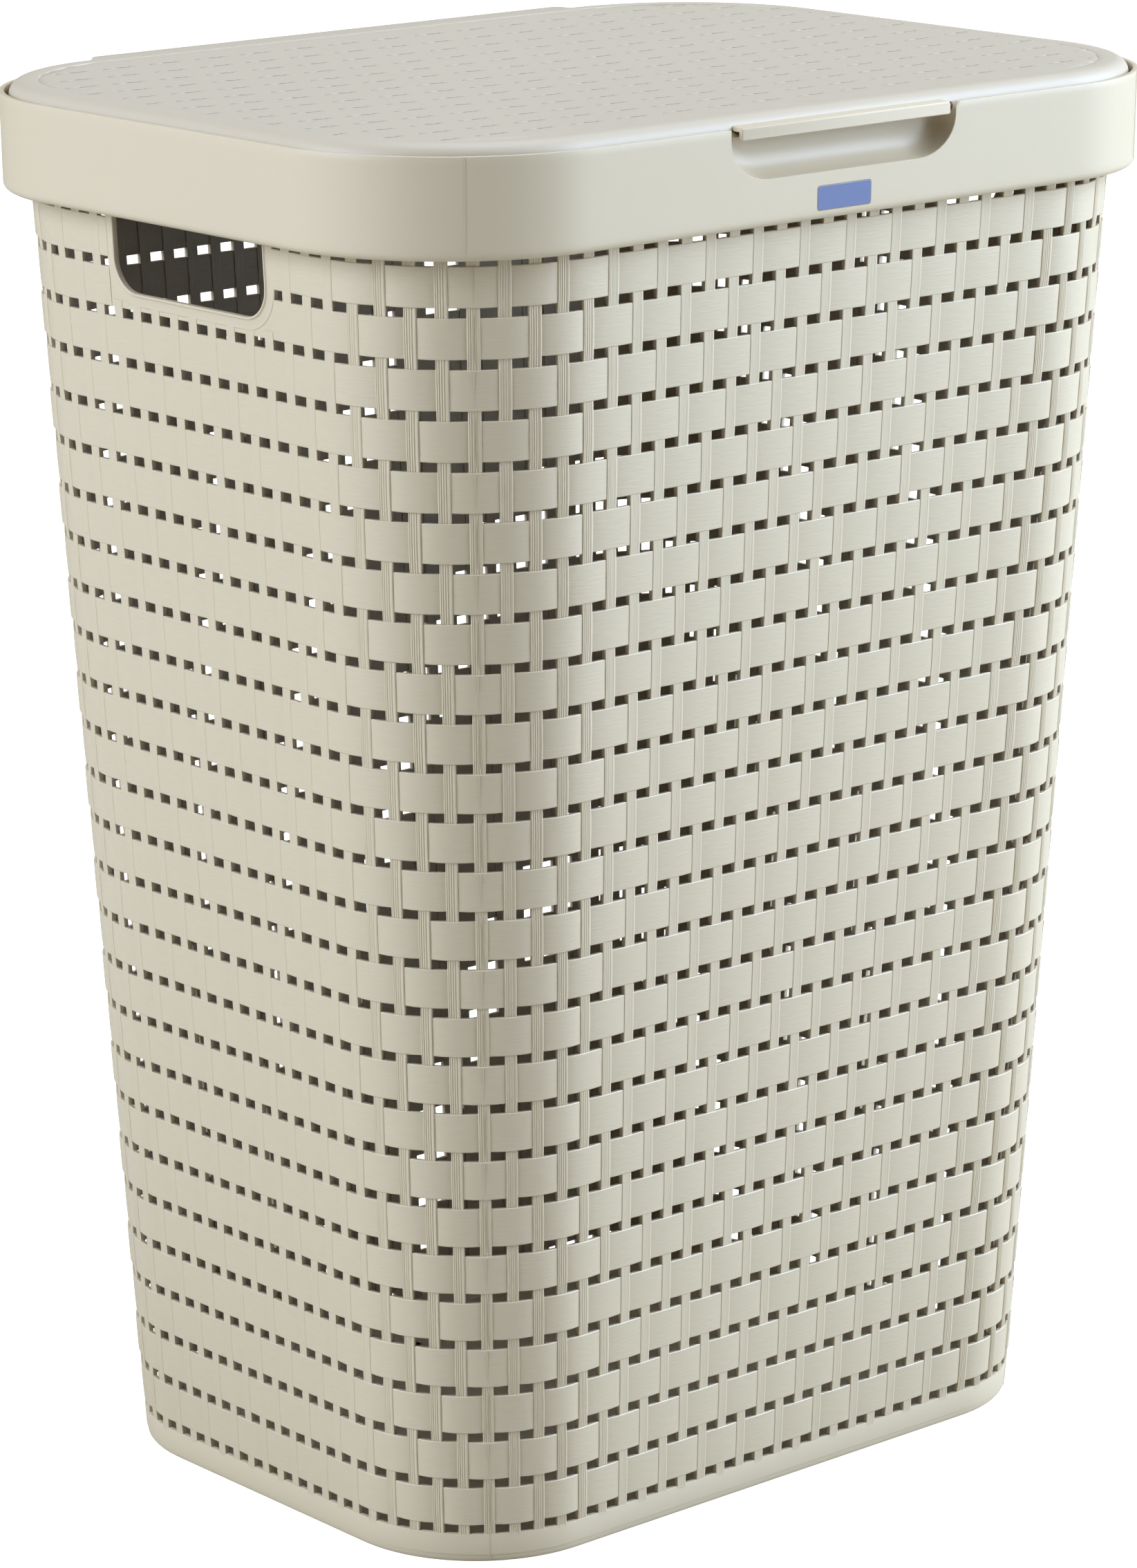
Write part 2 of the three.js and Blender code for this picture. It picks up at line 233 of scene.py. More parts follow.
def labelPlastic():
    # Printed polypropylene film under clear varnish, a plain periwinkle blue with a faint fleck.
    material, tree = newMaterial("printed label film")
    place = addNode(tree, "ShaderNodeTexCoord").outputs["Object"]
    scaled = addNode(tree, "ShaderNodeMapping", {"Scale": (900.0, 900.0, 900.0)}, {"Vector": place})
    fleck = addNode(tree, "ShaderNodeTexNoise",
                    {"Scale": 1.0, "Detail": 2.0}, {"Vector": scaled.outputs["Vector"]})
    tone = addNode(tree, "ShaderNodeMix",
                   {"data_type": "RGBA", 6: hexToLinear("646F93"), 7: hexToLinear("6A7599")},
                   {"Factor": fleck.outputs["Fac"]})
    shader = addNode(tree, "ShaderNodeBsdfPrincipled", {"IOR": 1.5, "Roughness": 0.28},
                     {"Base Color": tone.outputs[2]})
    addNode(tree, "ShaderNodeOutputMaterial", links={"Surface": shader.outputs["BSDF"]})
    return material


labelFilm = labelPlastic()
print("materials made")


wallForm = {
    "footHalfX": 167.95 * mm, "footHalfY": 121.27 * mm, "footRadius": 60.44 * mm,
    "growX": 0.0552, "growY": 0.0511, "growRadius": 0.0210,  # metres out per metre up
    "straightX": 10.23, "straightY": 6.37,  # bars from a side's middle to its corner arc
    "quarter": 26,  # bars in a quarter of the way round
    "barPitch": 11.7 * mm,  # mean distance between two bars
}
quarter = wallForm["quarter"]


def wallSize(z):
    return (wallForm["footHalfX"] + wallForm["growX"] * z, wallForm["footHalfY"] + wallForm["growY"] * z,
            wallForm["footRadius"] + wallForm["growRadius"] * z)


def roundAt(bar, halfX, halfY, radius, out):
    # bar runs round from the front's middle by way of the left side. In each quarter the point goes along the
    # flat, then round the corner's arc at an even angle for each bar, then along the other flat; out moves it
    # along the outward normal.
    turn = np.floor(np.mod(bar, 4 * quarter) / quarter).astype(int)
    t = np.mod(bar, quarter)
    t = np.where(turn % 2 == 1, quarter - t, t)
    flatX, flatY = wallForm["straightX"], wallForm["straightY"]
    angle = np.clip((t - flatX) / (quarter - flatX - flatY), 0, 1) * math.pi / 2
    alongX = np.clip(t / flatX, 0, 1) * (halfX - radius)
    alongY = np.clip((quarter - t) / flatY, 0, 1) * (halfY - radius)
    x = alongX + (radius + out) * np.sin(angle)
    y = alongY + (radius + out) * np.cos(angle)
    signX = np.where(turn <= 1, -1.0, 1.0)
    signY = np.where((turn == 0) | (turn == 3), -1.0, 1.0)
    return x * signX, y * signY


def wallPoint(bar, z, out):
    halfX, halfY, radius = wallSize(z)
    x, y = roundAt(bar, halfX, halfY, radius, out)
    return np.stack([x, y, np.broadcast_to(z, x.shape)], -1)


def standOff(points):
    # signed distance outwards from the wall's nominal face, a rounded rectangle at each point's own height
    halfX, halfY, radius = wallSize(points[:, 2])
    x, y = np.abs(points[:, 0]) - halfX + radius, np.abs(points[:, 1]) - halfY + radius
    return np.hypot(np.maximum(x, 0), np.maximum(y, 0)) + np.minimum(np.maximum(x, y), 0) - radius


weave = {
    "rowPitch": 19.6 * mm, "bands": 26,
    "lowestRow": 14.1 * mm,         # centre of the lowest row of holes
    "padHalfHeight": 7.85 * mm, "padHalfWidth": 0.79,   # width in bars
    "padCrown": 0.7 * mm, "padEnd": -0.15 * mm, "padChamfer": 0.3 * mm,
    "flush": 0.3, "longSide": 0.45,  # share of the relief left on the short and the long sides
    "shortEnd": 5.0, "longStart": 14.0, "fade": 5.0,  # in bars from a short side's middle
    "barHalfWidth": 0.215, "barFront": 0.32 * mm, "barDip": 0.5 * mm,
    "stripFront": -0.85 * mm, "back": -1.6 * mm,
    "barFoot": 11.0 * mm, "barHead": 526.0 * mm,
    "leastPad": 0.12,  # narrowest piece of a pad kept beside a grip, in bars
    "innerPaintedShade": 0.36,
}
gripForm = {"halfWidth": 47 * mm, "floor": 493.5 * mm, "radius": 13 * mm, "border": 5.4 * mm, "top": 525.4 * mm,
            "tuck": 0.8 * mm,  # how far the weave runs in under the border
            "barsCut": 4}      # bars either side of the middle that stop below the grip


def bandHeight(band):  # band 0 is the top one
    return weave["lowestRow"] + (weave["bands"] - 0.5 - band) * weave["rowPitch"]


def reliefAt(bar):
    # the weave is deepest round the corners, shallower on the long sides and almost flush on the short sides,
    # with a smooth step between each two
    fromMiddle = np.abs(np.mod(bar, 2 * quarter) - quarter)
    t = np.clip((fromMiddle - weave["shortEnd"]) / weave["fade"], 0, 1)
    s = np.clip((fromMiddle - weave["longStart"]) / weave["fade"], 0, 1)
    return (weave["flush"] + (1 - weave["flush"]) * t * t * (3 - 2 * t)
            - (1 - weave["longSide"]) * s * s * (3 - 2 * s))


def sidewaysLimit(band):
    # half width, in bars, that a hand grip's border takes out of this band, or nothing
    z = bandHeight(band)
    if z + weave["padHalfHeight"] < gripForm["floor"] - gripForm["border"] + 2 * mm:
        return None
    _, halfY, radius = wallSize(z)
    pitch = (halfY - radius) / wallForm["straightY"]
    return (gripForm["halfWidth"] + gripForm["border"] - gripForm["tuck"]) / pitch


def padParts(firstBar, lastBar, gripBar):
    # One pad: a plate whose face stands out by crown - (crown - end) * |u|^2.2 across its width,
    # with its upper and lower edges eased, tucked in at both ends behind the bars beside it.
    low, high = [], []
    rows = []
    for band in range(weave["bands"]):
        limit = sidewaysLimit(band) if gripBar is not None else None
        for bar in range(firstBar, lastBar + 1):
            if (bar + band) % 2:
                continue
            a, b = bar - weave["padHalfWidth"], bar + weave["padHalfWidth"]
            if limit is not None:
                if a > gripBar - limit and b < gripBar + limit:
                    continue
                if bar < gripBar:
                    b = min(b, gripBar - limit)
                else:
                    a = max(a, gripBar + limit)
                if b - a < weave["leastPad"]:
                    continue
            low.append(a)
            high.append(b)
            rows.append((bar, bandHeight(band)))
    low, high, rows = np.array(low), np.array(high), np.array(rows)
    u = np.array([-1, -0.88, -0.55, 0, 0.55, 0.88, 1.0])
    bars = low[:, None] + (high - low)[:, None] * (u[None] + 1) / 2
    across = (bars - rows[:, :1]) / weave["padHalfWidth"]
    face = weave["padCrown"] - (weave["padCrown"] - weave["padEnd"]) * np.abs(across) ** 2.2
    face = weave["barFront"] + (face - weave["barFront"]) * reliefAt(bars)
    h, ease = weave["padHalfHeight"], weave["padChamfer"]
    up = np.array([-h, -h, -h + ease, -0.35 * h, 0.35 * h, h - ease, h, h])
    drop = np.array([0, ease, 0.03 * mm, 0, 0, 0.03 * mm, ease, 0])
    out = face[..., None] - drop
    out[..., 0] = out[..., 7] = weave["back"] + 0.2 * mm
    z = rows[:, 1][:, None, None] + np.broadcast_to(up, out.shape)
    bar = np.broadcast_to(bars[..., None], out.shape)
    points = wallPoint(bar, z, out)
    seed = np.random.default_rng(4)
    offset = seed.uniform(0, 40, (len(rows), 2))
    uv = np.stack([bar * wallForm["barPitch"] + offset[:, 0][:, None, None],
                   z + offset[:, 1][:, None, None] + (out - face[..., None]) * 0.7], -1)
    return sweepMany(points, uv)


def barParts(firstBar, lastBar, gripBar):
    # One bar: a narrow upright strip that comes forward by a raised cosine where it passes over a band
    # and dips where a pad passes over it.
    stations = weave["bands"] * 4 + 6
    parts = []
    for cut in (False, True):
        chosen = [b for b in range(firstBar, lastBar + 1)
                  if (gripBar is not None and abs(b - gripBar) <= gripForm["barsCut"]) == cut]
        if not chosen:
            continue
        chosen = np.array(chosen, float)
        head = gripForm["floor"] - gripForm["border"] + 1.5 * mm if cut else weave["barHead"]
        z = np.linspace(weave["barFoot"], head, stations)
        phase = (weave["lowestRow"] + (weave["bands"] - 0.5) * weave["rowPitch"] - z) / weave["rowPitch"]
        wave = -np.cos(math.pi * (phase[None] + chosen[:, None]))
        wave = np.sign(wave) * np.abs(wave) ** 0.6
        face = weave["barFront"] + weave["barDip"] * (wave - 1) / 2 * reliefAt(chosen)[:, None]
        # the strip's section: back, then a face with fine grooves along the bar
        side = weave["barHalfWidth"] * np.array([-1, -1, -0.83, -0.58, -0.4, -0.2, -0.02, 0.18, 0.38, 0.56,
                                                 0.72, 0.87, 1, 1])
        drop = np.array([0, 0.28, 0, 0.02, 0.22, 0.0, 0.2, 0.01, 0.24, 0.0, 0.18, 0.0, 0.28, 0]) * mm
        out = face[..., None] - drop * reliefAt(chosen)[:, None, None]
        out[..., 0] = out[..., -1] = weave["back"] - 0.3 * mm
        bar = chosen[:, None, None] + np.broadcast_to(side, out.shape)
        z = np.broadcast_to(z[None, :, None], out.shape)
        points = wallPoint(bar, z, out)
        offset = np.random.default_rng(7).uniform(0, 40, len(chosen))
        acrossGrain = bar * wallForm["barPitch"] + (out - face[..., None]) * 0.7
        uv = np.stack([z + offset[:, None, None], acrossGrain], -1)
        parts.append(sweepMany(points, uv))
    return joinParts(parts)


def stripParts(firstBar, lastBar, gripBar):
    # The band behind the bars: a flat strip of even thickness, interrupted where a hand grip is.
    parts = []
    h = weave["padHalfHeight"] - 0.12 * mm
    up = np.array([-h, -h, h, h])
    level = np.array([weave["back"], weave["stripFront"], weave["stripFront"], weave["back"]])
    for band in range(weave["bands"]):
        limit = sidewaysLimit(band) if gripBar is not None else None
        runs = [(firstBar, lastBar)]
        if limit is not None:
            runs = [(firstBar, gripBar - limit), (gripBar + limit, lastBar)]
        for a, b in runs:
            bars = np.linspace(a, b, max(3, int(round((b - a) * 2)) + 1))
            shape = (1, len(bars), 4)
            bar = np.broadcast_to(bars[None, :, None], shape)
            z = np.broadcast_to(bandHeight(band) + up, shape)
            out = np.broadcast_to(level, shape)
            uv = np.stack([bar * wallForm["barPitch"], z + out], -1)
            parts.append(sweepMany(wallPoint(bar, z, out), uv))
        low = bandHeight(band) - h
        if limit is not None and low < gripForm["floor"] - gripForm["border"] + 1 * mm:
            # what is left of this band under the grip's frame
            bars = np.linspace(gripBar - limit, gripBar + limit, 41)
            bar = np.broadcast_to(bars[None, :, None], (1, 41, 4))
            big = gripForm["radius"] + gripForm["border"]
            reach = gripForm["halfWidth"] + gripForm["border"] - gripForm["tuck"]
            aside = np.abs(bars - gripBar) / limit * reach
            aside = np.clip(aside - gripForm["halfWidth"] + gripForm["radius"], 0, big)
            top = gripForm["floor"] + gripForm["radius"] - np.sqrt(big ** 2 - aside ** 2) + 1.2 * mm
            z = np.broadcast_to(np.array([low, low, 1, 1]), bar.shape).copy()
            z[..., 2:] = np.minimum(top, low + 2 * h)[None, :, None]
            out = np.broadcast_to(np.array([weave["back"], 0.05 * mm, 0.05 * mm, weave["back"]]), bar.shape)
            uv = np.stack([bar * wallForm["barPitch"], z + out], -1)
            parts.append(sweepMany(wallPoint(bar, z, out), uv))
    return joinParts(parts)


# first and last bar of the strips, first and last of the pads and bars, the hand grip's middle, and the CAD
# nodes replaced
wallSectors = {
    "front": (-14, 14, -14, 14, None, ("wall_front", "wall_corner_front_left", "wall_corner_front_right")),
    "left": (14, 38, 15, 37, 26, ("wall_left",)),
    "back": (38, 66, 38, 66, None, ("wall_back", "wall_corner_back_left", "wall_corner_back_right")),
    "right": (66, 90, 67, 89, 78, ("wall_right",)),
}
for side, (start, end, firstBar, lastBar, gripBar, nodes) in wallSectors.items():
    points, quads, uv = joinParts([padParts(firstBar, lastBar, gripBar),
                                   barParts(firstBar, lastBar, gripBar),
                                   stripParts(start, end, gripBar)])
    piece = makePiece(f"woven_wall_{side}", points, quads, uv)
    # painted shade: the inner side is painted darker and browner, standing in for the shade inside the hamper
    markPaintedShade(piece, (standOff(points) < weave["back"] + 0.3 * mm) * weave["innerPaintedShade"])
    placePiece(piece, "body", strandPlastic, "greige_plastic", *nodes)
    print("woven wall", side, len(piece.data.polygons), "faces")


def ringGrid(profile, stations, size):
    # profile: rows of (z, out). size gives half length, half depth and radius at a height.
    bars = np.linspace(0, 4 * quarter, stations, endpoint=False)
    rows = []
    for z, out in profile:
        halfX, halfY, radius = size(z)
        x, y = roundAt(bars, halfX, halfY, radius, out)
        rows.append(np.stack([x, y, np.full_like(x, z)], -1))
    return np.array(rows)


baseForm = {"top": 12.2 * mm, "floor": 2.6 * mm, "step": 3.2 * mm, "stations": 8 * quarter}
# from under the floor, up the foot and the band above its step, over the top edge and down inside
baseProfile = [(0.0, -30 * mm), (0.0, -1.6 * mm), (0.25 * mm, -0.75 * mm), (0.9 * mm, -0.25 * mm),
               (1.8 * mm, -0.1 * mm), (baseForm["step"], -0.05 * mm), (baseForm["step"] + 0.12 * mm, 0.18 * mm),
               (baseForm["top"] - 0.45 * mm, 0.22 * mm), (baseForm["top"] - 0.1 * mm, 0.05 * mm),
               (baseForm["top"], -0.3 * mm), (baseForm["top"], -1.5 * mm),
               (baseForm["top"] - 0.3 * mm, -1.8 * mm), (6.5 * mm, -1.8 * mm), (3.6 * mm, -2.8 * mm),
               (baseForm["floor"], -5.0 * mm), (baseForm["floor"], -30 * mm)]
baseRing = ringGrid(baseProfile, baseForm["stations"], wallSize)
rowCount, stationCount = baseRing.shape[:2]
baseParts = [plainPart(baseRing, gridQuads(rowCount, stationCount, closeColumns=True))]
for row in (0, rowCount - 1):
    # floor sheet: opposite stations of the ring joined by straight rows across
    loop = baseRing[row]
    half = stationCount // 2
    left, right = loop[np.arange(half + 1)], loop[(-np.arange(half + 1)) % stationCount]
    t = np.linspace(0, 1, 9)[None, :, None]
    sheet = left[:, None] * (1 - t) + right[:, None] * t
    baseParts.append(plainPart(sheet, gridQuads(*sheet.shape[:2])))
points, quads, _ = joinParts(baseParts)
basePan = makePiece("base_pan_shell", points, quads, merge=1e-6)
placePiece(basePan, "body", smoothPlastic, "greige_plastic", "base_pan")
print("base pan", len(basePan.data.polygons), "faces")


collarForm = {
    "halfX": 210 * mm, "halfY": 157.2 * mm, "radius": 80 * mm,
    "rim": 564 * mm, "neck": 525 * mm, "draft": 0.8 / 39, "round": 3 * mm, "thick": 2.0 * mm,
}
hinge = {"x": 70 * mm, "notch": 37 * mm, "floor": 553 * mm}
recessForm = {"halfWidth": 59.4 * mm, "drop": 20.6 * mm, "roundX": 20 * mm, "roundZ": 15.6 * mm,
              "depth": 10.4 * mm, "pocketTop": 559.2 * mm, "panelHalf": 100 * mm, "panelFloor": 530 * mm,
              "leastRound": 4 * mm}


def collarSize(z):
    draft = collarForm["draft"] * (collarForm["rim"] - z)
    return collarForm["halfX"] - draft, collarForm["halfY"] - draft, collarForm["radius"] - draft


def collarFace(z):  # y of the front face
    return -(collarForm["halfY"] - collarForm["draft"] * (collarForm["rim"] - z))


def collarStations():
    # corners at 3.75 degrees, straights in even steps; the front panel's columns are left to the recess grid
    flat = wallForm["straightX"]
    panel = recessForm["panelHalf"] / (collarForm["halfX"] - collarForm["radius"]) * flat
    first = np.concatenate([[panel], np.linspace(panel, flat, 4)[1:-1],
                            np.linspace(flat, quarter - wallForm["straightY"], 25),
                            np.linspace(quarter - wallForm["straightY"], quarter, 6)[1:]])
    second = 2 * quarter - first[::-1][1:]
    notch = np.array([hinge["x"] - hinge["notch"] / 2, hinge["x"] + hinge["notch"] / 2])
    notch = notch / (collarForm["halfX"] - collarForm["radius"]) * flat
    rear = 2 * quarter - np.sort(np.concatenate([np.linspace(0, flat, 9)[:-1], notch]))[::-1]
    toBack = np.concatenate([first, second[second < 2 * quarter - flat + 0.001], rear])
    return np.concatenate([toBack, 4 * quarter - toBack[::-1][1:]])


def panelRows():  # one row lies at the floor of the hinge notches
    return np.array([530, 534, 538, 543, 548, 553, 557, 561, 564]) * mm


bars = collarStations()
rows = []
# the neck's inner edge, then the rounded shoulder, then the drafted face
neckX, neckY, neckRadius = wallSize(collarForm["neck"])
for height, inset in ((526.5, 1.7), (525.4, 1.5), (525.0, 0.9)):
    x, y = roundAt(bars, neckX, neckY, neckRadius, -inset * mm)
    rows.append(np.stack([x, y, np.full_like(x, height * mm)], -1))
for turn in np.linspace(0, math.pi / 2, 6):
    z = collarForm["neck"] + collarForm["round"] * (1 - math.cos(turn))
    x, y = roundAt(bars, *collarSize(z), -collarForm["round"] * (1 - math.sin(turn)))
    rows.append(np.stack([x, y, np.full_like(x, z)], -1))
lowRows = len(rows)
for z in panelRows():
    x, y = roundAt(bars, *collarSize(z), 0)
    rows.append(np.stack([x, y, np.full_like(x, z)], -1))
ring = np.array(rows)
ringQuads = gridQuads(*ring.shape[:2])
middle = ring.reshape(-1, 3)[ringQuads].mean(1)
inNotch = (middle[:, 1] > 0) & (middle[:, 2] > hinge["floor"]) & (
    np.abs(np.abs(middle[:, 0]) - hinge["x"]) < hinge["notch"] / 2)
collarParts = [plainPart(ring, ringQuads[~inNotch])]

# under the front panel the lower rows run on straight across
across = np.linspace(1, -1, 33) * recessForm["panelHalf"]
lower = []
for row in ring[:lowRows + 1]:
    # the last station is at +panelHalf, the first at -panelHalf
    a, b = row[-1], row[0]
    t = ((across[0] - across) / (across[0] - across[-1]))[:, None]
    lower.append(a[None] * (1 - t) + b[None] * t)
lower = np.array(lower)
collarParts.append(plainPart(lower, gridQuads(*lower.shape[:2])))


def recessEdge(inset, count):
    # U from the rim at +X down, along the bottom and up at -X: straight, quarter ellipse, straight, and back
    halfWidth = recessForm["halfWidth"] - inset
    floor = collarForm["rim"] - recessForm["drop"] + inset * 0.9
    roundX = max(recessForm["roundX"] - inset, recessForm["leastRound"])
    roundZ = max(recessForm["roundZ"] - inset, recessForm["leastRound"])
    a = np.linspace(0, math.pi / 2, 40)
    right = np.stack([halfWidth - roundX + roundX * np.cos(a), floor + roundZ - roundZ * np.sin(a)], -1)
    path = np.concatenate([[[halfWidth, collarForm["rim"]]], right, (right * [-1, 1])[::-1],
                           [[-halfWidth, collarForm["rim"]]]])
    return evenly(path, count)


rowsUp = panelRows()
sideUp = np.full_like(rowsUp, recessForm["panelHalf"])
outer = np.concatenate([np.stack([sideUp, rowsUp[::-1]], -1),
                        np.stack([across, np.full_like(across, recessForm["panelFloor"])], -1)[1:-1],
                        np.stack([-sideUp, rowsUp], -1)])
count = len(outer)
edge = recessEdge(0.0, count)
panel = []
# the face, from the panel's edge to the recess's edge
for t in (0, 0.25, 0.5, 0.75, 0.93, 1.0):
    flat = outer * (1 - t) + edge * t
    panel.append(np.stack([flat[:, 0], collarFace(flat[:, 1]), flat[:, 1]], -1))
# the scooped side of the pocket: mm in from its edge, and share of its depth
for inset, deep in ((0.2, 0.02), (0.3, 0.1), (0.5, 0.24), (0.9, 0.42), (1.7, 0.6), (3.0, 0.77), (4.8, 0.9),
                    (7.0, 0.97), (9.5, 1.0)):
    flat = recessEdge(inset * mm, count)
    top = np.minimum(flat[:, 1], recessForm["pocketTop"]) if deep > 0.2 else flat[:, 1]
    panel.append(np.stack([flat[:, 0], collarFace(flat[:, 1]) + deep * recessForm["depth"], top], -1))
panel = np.array(panel)
collarParts.append(plainPart(panel, gridQuads(*panel.shape[:2])))
# back of the pocket: each point of its last U is joined to the straight edge between the U's two ends
last = panel[-1]
t = np.linspace(0, 1, count)[:, None]
edgeAcross = last[0] * (1 - t) + last[-1] * t
t = np.linspace(0, 1, 7)[None, :, None]
sheet = last[:, None] * (1 - t) + edgeAcross[:, None] * t
collarParts.append(plainPart(sheet, gridQuads(*sheet.shape[:2])))
points, quads, _ = joinParts(collarParts)
collar = makePiece("collar_shell", points, quads, merge=2e-6)
thicken = collar.modifiers.new("wall", "SOLIDIFY")
thicken.thickness, thicken.offset, thicken.use_even_offset = collarForm["thick"], -1, False
ease = collar.modifiers.new("eased edges", "BEVEL")
ease.width, ease.segments = 0.35 * mm, 2
ease.limit_method, ease.angle_limit = "ANGLE", math.radians(50)
collarSides = ("front", "back", "left", "right",
               "corner_front_left", "corner_front_right", "corner_back_left", "corner_back_right")
placePiece(collar, "body", smoothPlastic, "greige_plastic",
           *[f"collar_{side}" for side in collarSides], "finger_pocket")
print("collar", len(collar.data.polygons), "faces")


def gripPath(grow, count):
    # U round the grip, grown outwards: straight down, quarter circle, straight across, and back up
    halfWidth = gripForm["halfWidth"] + grow
    floor, radius = gripForm["floor"] - grow, gripForm["radius"] + grow
    a = np.linspace(0, math.pi / 2, 24)
    right = np.stack([halfWidth - radius + radius * np.cos(a), floor + radius - radius * np.sin(a)], -1)
    path = np.concatenate([[[halfWidth, gripForm["top"]]], right, (right * [-1, 1])[::-1],
                           [[-halfWidth, gripForm["top"]]]])
    return evenly(path, count)


# the border's section in mm: distance out from the opening's edge, and how far it stands off the wall
gripProfile = [(0.0, -1.3), (0.0, 0.4), (0.15, 0.8), (0.5, 1.0), (0.95, 0.95), (1.25, 0.5), (1.6, 0.34),
               (5.0, 0.3), (5.35, 0.05), (5.4, -1.6)]
for side, sign in (("left", -1), ("right", 1)):
    loops = []
    for grow, out in gripProfile:
        path = gripPath(grow * mm, 96)
        halfX = wallSize(path[:, 1])[0]
        loops.append(np.stack([sign * (halfX + out * mm), path[:, 0], path[:, 1]], -1))
    border = makePiece(f"grip_frame_{side}", *sweepPlain(np.array(loops).transpose(1, 0, 2)[None]))
    placePiece(border, "body", smoothPlastic, "greige_plastic", f"grip_border_{side}")


# mould parting line down each corner: a low ridge that follows the collar, the pads and bars, and the base
seamForm = {"bars": (14, 38, 66, 90), "halfWidth": 0.17 * mm, "proud": 0.1 * mm, "sunk": -0.1 * mm,
            # tone: how much painted shade darkens the parting lines
            "tone": 0.2, "foot": 0.9 * mm, "bandHalf": 9.7 * mm,
            "collarLow": 528.2 * mm, "collarHigh": 563.8 * mm,
            "padShort": 0.4 * mm, "baseFace": 0.2 * mm}
seamRuns = [(seamForm["foot"], baseForm["top"], "base")]
for band in range(weave["bands"]):
    seamRuns.append((bandHeight(band) - seamForm["bandHalf"], bandHeight(band) + seamForm["bandHalf"], band))
seamRuns.append((seamForm["collarLow"], seamForm["collarHigh"], "collar"))
seamParts = []
for bar in seamForm["bars"]:
    for low, high, place in seamRuns:
        z = np.linspace(low, high, 3)[None, :, None] * np.ones((1, 1, 4))
        if place == "base":
            face, size = seamForm["baseFace"], wallSize(z)
        elif place == "collar":
            face, size = 0.0, collarSize(z)
        else:
            onPad = (bar + place) % 2 == 0
            face, size = (weave["padCrown"] if onPad else weave["barFront"]), wallSize(z)
            if onPad:
                shorter = (weave["padHalfHeight"] - seamForm["padShort"]) / seamForm["bandHalf"]
                z = bandHeight(place) + (z - bandHeight(place)) * shorter
        side = np.array([-1, -0.45, 0.45, 1]) * seamForm["halfWidth"] / wallForm["barPitch"]
        ridge = np.array([seamForm["sunk"], seamForm["proud"], seamForm["proud"], seamForm["sunk"]])
        out = face + ridge + 0 * z
        x, y = roundAt(bar + side + 0 * z, *size, out)
        loops = np.stack([x, y, z], -1)
        seamParts.append((*sweepPlain(loops), np.zeros((loops.size // 3, 2))))
points, quads, _ = joinParts(seamParts)
partingLines = makePiece("mould_parting_lines", points, quads)
# painted shade: the parting lines are painted a little darker, towards the colour of deep shade
markPaintedShade(partingLines, np.full(len(partingLines.data.vertices), seamForm["tone"]))
placePiece(partingLines, "body", smoothPlastic, "greige_plastic")


labelForm = {"width": 28 * mm, "height": 9.2 * mm, "centre": 533.4 * mm, "round": 1.3 * mm,
             "clear": 0.1,  # mm the plate stands off the collar's face
             "seatHalfX": 14, "seatHalfZ": 4.6, "seatDeep": -0.04 * mm, "seatPaintedShade": 0.7}
a = np.linspace(0, math.pi / 2, 7)
corner = np.stack([np.cos(a), np.sin(a)], -1)
ringPoints = []
for inset, out in ((0.0, -0.45), (0.0, -0.08), (0.12, 0.0), (0.6, 0.0)):
    rows = []
    radius = labelForm["round"] - inset * mm
    for sx, sz, flip in ((1, 1, False), (-1, 1, True), (-1, -1, False), (1, -1, True)):
        c = corner[::-1] if flip else corner
        x = labelForm["width"] / 2 - labelForm["round"] + radius * c[:, 0]
        z = labelForm["height"] / 2 - labelForm["round"] + radius * c[:, 1]
        rows.append(np.stack([sx * x, sz * z], -1))
    flat = np.concatenate(rows)
    z = labelForm["centre"] + flat[:, 1]
    ringPoints.append(np.stack([flat[:, 0], collarFace(z) - (out + labelForm["clear"]) * mm, z], -1))
label = makePiece("label_face", *sweepPlain(np.array(ringPoints)[None]))
# painted shadow: a fine frame between the plate and its seat, level with the collar's face, painted dark where
# the seat's groove would lie in shade
outline = ringPoints[1]
middle = outline.mean(0)
seatShadowRing = []
for wide, push in ((-0.1, 0.3), (-0.1, 0.0), (0.32, 0.0), (0.32, 0.3)):
    spread = [1 + wide / labelForm["seatHalfX"], 1, 1 + wide / labelForm["seatHalfZ"]]
    seatShadowRing.append((outline - middle) * spread + middle + [0, push * mm, 0])
seatShadowRing = np.array(seatShadowRing)
seatShadowRing[1:3, :, 1] = collarFace(seatShadowRing[1:3, :, 2]) + labelForm["seatDeep"]
quads = gridQuads(*seatShadowRing.shape[:2], closeRows=True, closeColumns=True)
labelSeatShadow = makePiece("label_seat_painted_shadow", seatShadowRing.reshape(-1, 3), quads, merge=1e-6)
# painted shadow round the label plate
markPaintedShade(labelSeatShadow, np.full(len(labelSeatShadow.data.vertices), labelForm["seatPaintedShade"]))
placePiece(labelSeatShadow, "body", smoothPlastic, "greige_plastic")
placePiece(label, "body", labelFilm, "label_blue", "label_plate")


lidForm = {
    "halfX": 206.2 * mm, "halfY": 153.4 * mm, "radius": 76.2 * mm,
    "top": 568.0 * mm, "skirt": 556.0 * mm, "round": 6 * mm, "border": 12 * mm, "thick": 1.9 * mm,
    "step": 0.02 * mm, "dish": 2.2 * mm,
    "notchHalf": 63 * mm, "notchFloor": 563.4 * mm, "hingeSkirt": 143.5 * mm, "hingeFloor": 565.8 * mm,
    "stations": 16 * quarter,
}


def lidSize(z):  # upright sides, the same at every height
    return lidForm["halfX"], lidForm["halfY"], lidForm["radius"]


